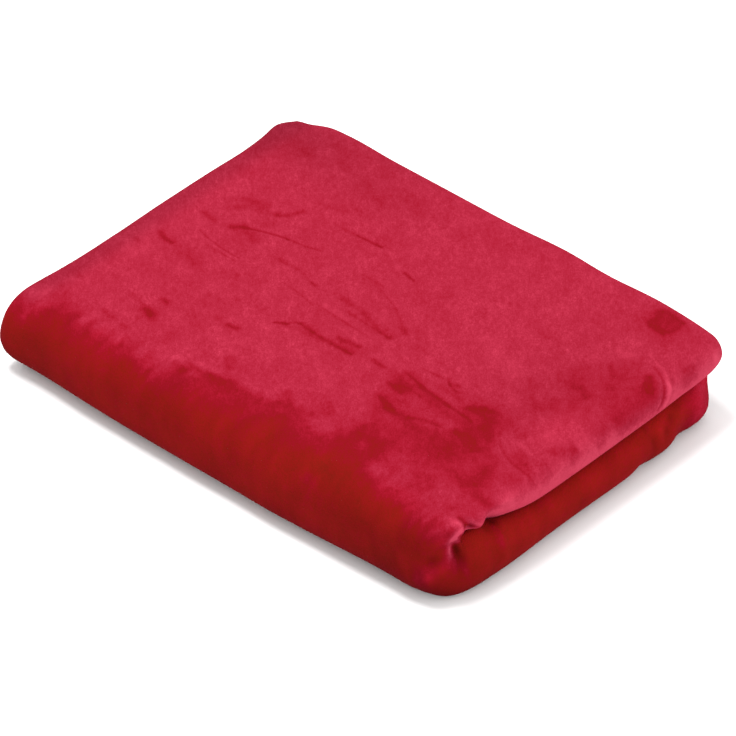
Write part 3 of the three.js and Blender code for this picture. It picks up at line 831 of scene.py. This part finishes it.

# %% [markdown]
# ## The nap
# Fleece has a brushed pile. Where it stands up it catches the light and looks pink. Where it lies
# down, or has been pressed, it looks deep red. One number for each vertex says how far it stands: 1
# on the brushed top, 0 down the sides, where the pile hangs, and more than 1 along the rolled rim.
# It carries painted light as well: the pink of the top is partly painted sheen, the deep red of the
# walls partly painted shade, and the extra pink along the rim a painted highlight. On the hidden
# faces it lies down. A second number is painted light and shade, a share that scales the colour:
# painted shade at the left and back edges, towards the foot of the walls, and in the pits and
# grooves of the crinkled corner and of the right-hand end, and painted light on the lower half of
# the right-hand end and on a few folds. The walls have soft blotches too.

# %% Brush the nap
# The pink top ends along the first line of (u, v) places, and the red wall starts at the second.
PINK_UP_TO = [
    (-245, -17), (-225, -17), (-200, -22), (-185, -22), (-157, -21), (-133, -24), (-107, -22),
    (-77, -19), (-61, -26), (-31, -40), (-8, -42), (24, -50), (48, -50), (81, -47), (108, -40),
    (136, -27), (166, -23), (196, -20), (224, -20), (260, -18),
]
RED_UP_TO = [
    (-245, -13), (-200, -15), (-150, -18), (-90, -17), (-30, -17), (30, -25), (80, -22), (140, -23),
    (190, -16), (225, -16), (260, -14),
]
HALF_WAY = 0.42              # the pile between the two lines
BORDERS = {"pink": (-9, 9), "red": (-9, 7)}   # how far round each line its border spreads
WANDER = named("cell high seed", [(23, 5, 11), (9, 4, 12), (4.5, 3.5, 13)])
RED_WANDER, MARK_WANDER = 0.5, 0.15   # the red line and the marks wander less than the pink line
WHOLE_WANDER = 4             # marks of a smaller half width wander less still
# The rolled rim at the right of the top, where a painted sheen highlight makes the pile pinker.
RIM_SHEEN = {"more": 0.5, "u": (220, 240), "until_u": (250, 255), "until_v": (-24, -14)}
TO_WALL = (-34, -14)         # the top turns into the wall between these values of v
UNDER = 1.5 * FRONT          # from this v on, the cloth is the lower half
LOWER_END = {"pile": 0.5, "v": (275, 320)}   # at the back of the lower half it stands up again
LEFT_TURN = (0.1, 0.45)      # the share of the left end's bend by which its pile hangs
LEAST_ON_TOP = 0.22          # the pressed marks on top stay a little less deep than the walls
LEAST_ON_WALL = -0.12
# The hidden pile, and the shares of the bends from which on it is hidden.
HIDDEN = {"pile": 0.3, "left": (0.7, 1), "right": (0.96, 1), "back": (0.4, 1)}
BELOW = {"front": (1.1, 2.4), "right": (-0.3, 0)}


def nap(u, v):
    """How far the pile stands up at a place of the flat sheet."""
    wander = hills(u, v, WANDER)
    pink_line = np.interp(u, *zip(*PINK_UP_TO))
    red_line = np.interp(u, *zip(*RED_UP_TO))
    stands = mix(1, HALF_WAY, smooth(v - pink_line + wander, *BORDERS["pink"]))
    stands = mix(stands, 0, smooth(v - red_line + wander * RED_WANDER, *BORDERS["red"]))
    # Painted highlight along the rolled rim.
    stands = stands + RIM_SHEEN["more"] * smooth(u, *RIM_SHEEN["u"]) * (1 - smooth(v, *RIM_SHEEN["until_v"]))
    stands = np.where(v > UNDER, LOWER_END["pile"] * smooth(v, *LOWER_END["v"]), stands)
    for mark in MARKS:
        wide = mark["half_width"]
        off = (off_mark(u, v, mark) + MARK_WANDER * wander * min(wide / WHOLE_WANDER, 1)) / wide
        stands = stands + mark["pile"] / 100 * np.exp(-off * off)
    for spot in SPOTS:
        off = np.hypot(u - spot["u"], v - spot["v"]) + MARK_WANDER * wander
        stands = stands + spot["pile"] / 100 * np.exp(-(off / spot["half_width"]) ** 2)
    stands = np.maximum(stands, mix(LEAST_ON_TOP, LEAST_ON_WALL, smooth(v, *TO_WALL)))
    left_end = (LEFT - u) / left_bend.length
    right_end = (u - RIGHT) / right_bend.length
    back_end = (BACK - v) / outer_bend.length
    stands = stands * (1 - smooth(left_end, *LEFT_TURN))
    stands = stands * (1 - smooth(u, *RIM_SHEEN["until_u"]) * (v < UNDER))
    inside = np.maximum(smooth(left_end, *HIDDEN["left"]), smooth(right_end, *HIDDEN["right"]))
    inside = np.maximum(inside, smooth(back_end, *HIDDEN["back"]))
    below = smooth(v / FRONT, *BELOW["front"]) * (1 - smooth(right_end, *BELOW["right"]))
    return mix(stands, HIDDEN["pile"], np.maximum(inside, below))


LEAST_LIGHT, MOST_LIGHT = 0.15, 1.5
# Shares of painted shade (lost) and of painted light (gained), and the places of the cloth between which
# each one fades in or out.
LEFT_EDGE = {"lost": 0.2, "u": (-226, -204)}
LEFT_BACK = {"lost": 0.09, "u": (-190, 10), "v": (-300, -240)}
FOOT = {"lost": 0.36, "high": (0, 36), "from_v": -40, "except": 0.9, "from_u": (224, 234)}
FRONT_RIGHT = {"lost": 0.14, "u": (50, 200), "v": (-24, -4), "until_v": (12, 40)}
BLOTCHES = named("cell high seed", [(15, 0.09, 21), (7, 0.06, 22)])
# Painted light on the lower half of the right-hand end, more towards its back.
RIGHT_END = {"gained": (0.03, 0.36), "u": (238, 250), "v": (-5, 45), "bend": (-6, 4)}
RIGHT_BACK = {"more": 0.4, "v": (190, 300)}
# Soft round spots of the flat sheet, and the percent of its light that each loses as painted shade
# (below zero it gains some, as painted light).
LIGHT_SPOTS = named("u v wide long lost", [
    (-208, -312, 34, 24, 10), (252.5, 64, 2.4, 4.5, 75), (252, -61, 4, 5, 70),
    (241.5, 6.5, 2.2, 6, 45), (242, -31, 4, 2.6, 40), (227, 1, 2.6, 1.8, 12), (233, 0, 4, 3, -14),
    (230, 5.5, 3.4, 2, -25), (223.5, 6.5, 3, 2.4, -40), (249, 239, 4, 3.4, 28), (241, 243, 6, 3, 20),
    (243, 259, 2.6, 4, 30), (246.5, 267, 2.8, 5, 40), (249, 278, 3, 6, 30), (247, 251, 4, 4, -16),
    (242, 222, 6, 9, -6), (247, 192, 6, 9, 16), (238, 155, 3, 12, 12), (244, 140, 6, 6, 6),
    (243, 302, 6, 16, -10), (180, -185, 60, 70, 6), (-226, -10, 14, 13, -26), (230, 42, 8, 20, 18),
    (208, -162, 18, 32, -9), (230, -9, 3.5, 4.5, -28),
])


def painted_light_and_shade(u, v):
    """The painted light and shade: a share that scales the colour, with the walls' soft blotches."""
    x, y, z = folded(u, v, 0 * u)
    lost = LEFT_EDGE["lost"] * (1 - smooth(u, *LEFT_EDGE["u"]))
    lost = lost + LEFT_BACK["lost"] * (1 - smooth(u, *LEFT_BACK["u"])) * (1 - smooth(v, *LEFT_BACK["v"]))
    foot = (1 - smooth(z, *FOOT["high"])) * (v > FOOT["from_v"])
    lost = lost + FOOT["lost"] * foot * (1 - FOOT["except"] * smooth(u, *FOOT["from_u"]))
    front = smooth(v, *FRONT_RIGHT["v"]) * (1 - smooth(v, *FRONT_RIGHT["until_v"]))
    lost = lost + FRONT_RIGHT["lost"] * smooth(u, *FRONT_RIGHT["u"]) * front
    lost = lost + hills(u, v, BLOTCHES) * smooth(v, *TO_WALL)
    for spot in LIGHT_SPOTS:
        off = np.hypot((u - spot["u"]) / spot["wide"], (v - spot["v"]) / spot["long"])
        lost = lost + spot["lost"] / 100 * np.exp(-off * off)
    gained = mix(*RIGHT_END["gained"], smooth(u, *RIGHT_END["u"])) * smooth(v, *RIGHT_END["v"])
    gained = gained * smooth(u - RIGHT, *RIGHT_END["bend"])
    gained = gained * (1 + RIGHT_BACK["more"] * smooth(v, *RIGHT_BACK["v"]))
    return np.clip(1 - lost + gained, LEAST_LIGHT, MOST_LIGHT)


for name, values in {"nap": nap(u, v), "light": painted_light_and_shade(u, v)}.items():
    mesh.attributes.new(name, "FLOAT", "POINT").data.foreach_set("value", values.astype(np.float32))
    print(name, "from", round(values.min(), 2), "to", round(values.max(), 2))

# %% [markdown]
# ## Shader maths
# A shader value can be written like a number. This small class wraps a socket, and each operator
# adds the Math node that does its work.

# %% Write shader values as sums


class Value:
    """A socket of a finish that can be reckoned with."""

    def __init__(self, finish, socket):
        self.finish = finish
        self.socket = socket

    def maths(self, operation, first, second):
        return self.finish.add("ShaderNodeMath", {"operation": operation}, {0: first, 1: second})

    def __add__(self, other):
        return self.maths("ADD", self, other)

    def __sub__(self, other):
        return self.maths("SUBTRACT", self, other)

    def __rsub__(self, other):
        return self.maths("SUBTRACT", other, self)

    def __mul__(self, other):
        return self.maths("MULTIPLY", self, other)

    __radd__ = __add__
    __rmul__ = __mul__


class Finish:
    """A material whose nodes are added one call at a time."""

    def __init__(self, name):
        self.material = bpy.data.materials.new(name)
        self.material.use_nodes = True
        self.tree = self.material.node_tree
        self.surface = self.tree.nodes["Principled BSDF"]

    def put(self, node, name, value):
        """Links a value to a socket, or sets the socket."""
        if isinstance(value, Value):
            self.tree.links.new(value.socket, node.inputs[name])
        else:
            node.inputs[name].default_value = value

    def add(self, kind, settings, sockets, output=0):
        """Adds any node: its settings first, a ramp's stops among them, then its sockets."""
        node = self.tree.nodes.new(kind)
        for name, value in settings.items():
            if name == "stops":
                self.set_stops(node.color_ramp.elements, value)
            else:
                setattr(node, name, value)
        for name, value in sockets.items():
            self.put(node, name, value)
        return Value(self, node.outputs[output])

    def set_stops(self, elements, stops):
        """Replaces the two stops that a new ramp has."""
        elements.remove(elements[1])
        elements[0].position, elements[0].color = stops[0]
        for place, colour in stops[1:]:
            elements.new(place).color = colour

    def noise(self, size, detail, rough):
        """Noise about 0 with patches of about size metres, longer along the way of the pile."""
        where = self.add("ShaderNodeTexCoord", {}, {}, "Object")
        turned = {"Vector": where, "Rotation": (0, 0, PILE_WAY), "Scale": (PILE_LONG, 1, 1)}
        where = self.add("ShaderNodeMapping", {"vector_type": "TEXTURE"}, turned)
        sockets = {"Vector": where, "Scale": 1 / size, "Detail": detail, "Roughness": rough}
        return self.add("ShaderNodeTexNoise", {"noise_dimensions": "3D"}, sockets, "Fac") - 0.5


# %% [markdown]
# ## The fleece
# The finish is one shader. Its colour runs through a ramp from deep red to pink as the nap stands
# up, and noise in four sizes breaks it into tufts, clumps, clouds and drifts. The two finest ones
# make the bump too. Pile that hangs or stands right up shows less of the noise. The ramp's pinkest
# tones are a painted sheen highlight, and the colour is then scaled by the painted light and shade.
# A constant sheen gives the pale bloom that pile has when it is seen along its surface.

# %% Make the fleece
LEAST_NAP, MOST_NAP = -0.4, 1.7   # the two ends of the ramp
# The tones above 1 are the painted sheen highlight of the rolled rim; the pink at 1 is partly painted
# sheen, and the deep red at 0 partly painted shade.
TONES = named("nap colour", [
    (-0.3, (0.120, 0.0054, 0.0028)),
    (0.0, (0.150, 0.0045, 0.0035)),
    (0.3, (0.166, 0.0028, 0.0078)),
    (0.62, (0.207, 0.0046, 0.0140)),
    (1.0, (0.236, 0.0103, 0.0255)),
    (1.25, (0.28, 0.016, 0.036)),
    (1.6, (0.39, 0.035, 0.067)),
])
NOISES = named("name size detail rough share", [
    ("tufts", 0.0011, 2, 0.6, 1),
    ("clumps", 0.0036, 2, 0.6, 0.65),
    ("clouds", 0.012, 3, 0.6, 0.6),
    ("drifts", 0.05, 2, 0.5, 0.35),
])
BUMPS = {"tufts": 0.0006, "clumps": 0.0008}
BUMP_STRENGTH = 0.5
# The noise shows by the lesser of two lines over the nap: one rises from the hanging pile, and the
# other falls where the pile stands right up.
SHOWN = {"hanging": 0.7, "rise": 0.35, "raised": 2.4, "fall": 1.4}
PILE_WAY = math.radians(-48)   # the way the pile runs, turned from x
PILE_LONG = 1.7              # how many times as long as wide its patches are
SURFACE = {
    "Roughness": 0.95,
    "Sheen Weight": 0.05,
    "Sheen Roughness": 0.45,
    "Sheen Tint": (1.0, 0.1, 0.2, 1),
    "Specular IOR Level": 0.01,
}

fleece = Finish("fleece_pile")
pile_and_painted_light = fleece.add("ShaderNodeAttribute", {"attribute_name": "nap"}, {}, "Fac")
noises = {row["name"]: fleece.noise(row["size"], row["detail"], row["rough"]) for row in NOISES}
uneven = sum(noises[row["name"]] * row["share"] for row in NOISES)
rising = pile_and_painted_light * SHOWN["rise"] + SHOWN["hanging"]
falling = SHOWN["raised"] - pile_and_painted_light * SHOWN["fall"]
uneven = uneven * rising.maths("MINIMUM", rising, falling)
span = MOST_NAP - LEAST_NAP
stops = [((tone["nap"] - LEAST_NAP) / span, (*tone["colour"], 1)) for tone in TONES]
tone = (pile_and_painted_light + uneven - LEAST_NAP) * (1 / span)
colour = fleece.add("ShaderNodeValToRGB", {"stops": stops}, {"Fac": tone})
# The colour is scaled by the painted light and shade.
light = fleece.add("ShaderNodeAttribute", {"attribute_name": "light"}, {}, "Fac")
colour_in_painted_light = fleece.add("ShaderNodeVectorMath", {"operation": "SCALE"}, {0: colour, "Scale": light})
fleece.put(fleece.surface, "Base Color", colour_in_painted_light)
height = sum(noises[name] * high for name, high in BUMPS.items())
bump_sockets = {"Strength": BUMP_STRENGTH, "Distance": 1.0, "Height": height}
fleece.put(fleece.surface, "Normal", fleece.add("ShaderNodeBump", {}, bump_sockets, "Normal"))
for name, value in SURFACE.items():
    fleece.put(fleece.surface, name, value)
mesh.materials.append(fleece.material)
print("the fleece has", len(fleece.tree.nodes), "nodes")

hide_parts("throw_sheet")
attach(throw, "root")
